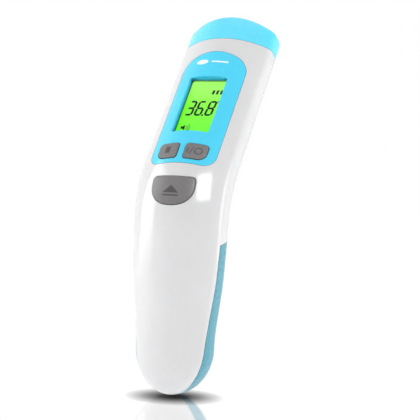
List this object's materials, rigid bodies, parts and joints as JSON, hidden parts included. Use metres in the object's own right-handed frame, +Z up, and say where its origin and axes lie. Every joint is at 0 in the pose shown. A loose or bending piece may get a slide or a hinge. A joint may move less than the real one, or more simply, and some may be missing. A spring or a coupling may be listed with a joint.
{
  "type": "ear thermometer",
  "caption": "Hand-held infrared ear thermometer: bent wand with lit display, two small keys, a scan button, a pull-off nose cap over the ear probe and a battery door.",
  "frame": {"origin": "middle of the small flat foot at the lower end of the grip", "axes": "+Z up along the straight grip, -Y out of the front (display) side, +X to the right seen from the front; the head leans back towards +Y"},
  "size_m": [0.0418, 0.0691, 0.1607],
  "materials": {
    "white_shell": "satin gloss",
    "blue_door": "satin gloss",
    "blue_cap": "gloss",
    "blue_fascia": "gloss",
    "clear_window": "clear polished",
    "black_foam": "closed-cell foam",
    "lcd_glass": "lit green display",
    "light_guide": "milky diffuser",
    "frame_plastic": "moulded",
    "grey_elastomer": "striped elastomer",
    "grey_key": "soft satin",
    "dark_grey_key": "soft satin",
    "black_plastic": "moulded",
    "switch_body": "stamped cover",
    "board_green": "solder resist",
    "chip_black": "moulded package",
    "flex_amber": "polyimide film",
    "brass_disc": "plain",
    "probe_plastic": "satin gloss",
    "black_rubber": "soft",
    "probe_film": "thin film",
    "sleeve_brass": "turned",
    "can_steel": "nickel plated",
    "filter_dark": "dark infrared filter",
    "gold_pins": "gold plated",
    "cell_wrap": "shrink sleeve",
    "nickel_plate": "nickel plated strip",
    "spring_steel": "nickel plated wire",
    "wire_red": "insulation",
    "wire_black": "insulation",
    "screw_steel": "zinc plated"
  },
  "bodies": {
    "body": {"front_shell": "white_shell", "rear_shell": "white_shell", "fascia": "blue_fascia", "display_window": "clear_window", "lcd_gasket": "black_foam", "lcd_panel": "lcd_glass", "lcd_backlight": "light_guide", "lcd_frame": "frame_plastic", "lcd_strips": "grey_elastomer", "tact_switches": "switch_body", "main_board": "board_green", "board_chips": "chip_black", "key_board": "board_green", "board_link": "flex_amber", "buzzer": "brass_disc", "nose_deck": "frame_plastic", "ear_probe": "probe_plastic", "probe_seal": "black_rubber", "probe_window": "probe_film", "sensor_sleeve": "sleeve_brass", "sensor_can": "can_steel", "sensor_window": "filter_dark", "sensor_leads": "gold_pins", "sensor_board": "board_green", "sensor_flex": "flex_amber", "batteries": "cell_wrap", "contact_bridge": "nickel_plate", "contact_positive": "nickel_plate", "contact_negative": "nickel_plate", "contact_springs": "spring_steel", "lead_positive": "wire_red", "lead_negative": "wire_black", "housing_screws": "screw_steel", "board_screws": "screw_steel"},
    "door": {"battery_door": "blue_door"},
    "cap": {"head_cap": "blue_cap"},
    "mode_key": {"mode_button": "grey_key", "mode_plunger": "black_plastic"},
    "power_key": {"power_button": "grey_key", "power_plunger": "black_plastic"},
    "scan_key": {"scan_button": "dark_grey_key", "scan_plunger": "black_plastic"}
  },
  "joints": [
    {"name": "door_pull", "type": "slide", "parent": "body", "child": "door", "axis": [0, 1, 0], "range_m": [0, 0.03]},
    {"name": "cap_pull", "type": "slide", "parent": "body", "child": "cap", "axis": [0, 0.5592, 0.829], "range_m": [0, 0.025]},
    {"name": "mode_press", "type": "slide", "parent": "body", "child": "mode_key", "axis": [0, 0.829, -0.5592], "range_m": [0, 0.0004], "stiffness_N_per_m": 150},
    {"name": "power_press", "type": "slide", "parent": "body", "child": "power_key", "axis": [0, 0.829, -0.5592], "range_m": [0, 0.0004], "stiffness_N_per_m": 150},
    {"name": "scan_press", "type": "slide", "parent": "body", "child": "scan_key", "axis": [0, 0.967, -0.2547], "range_m": [0, 0.0005], "stiffness_N_per_m": 150}
  ]
}
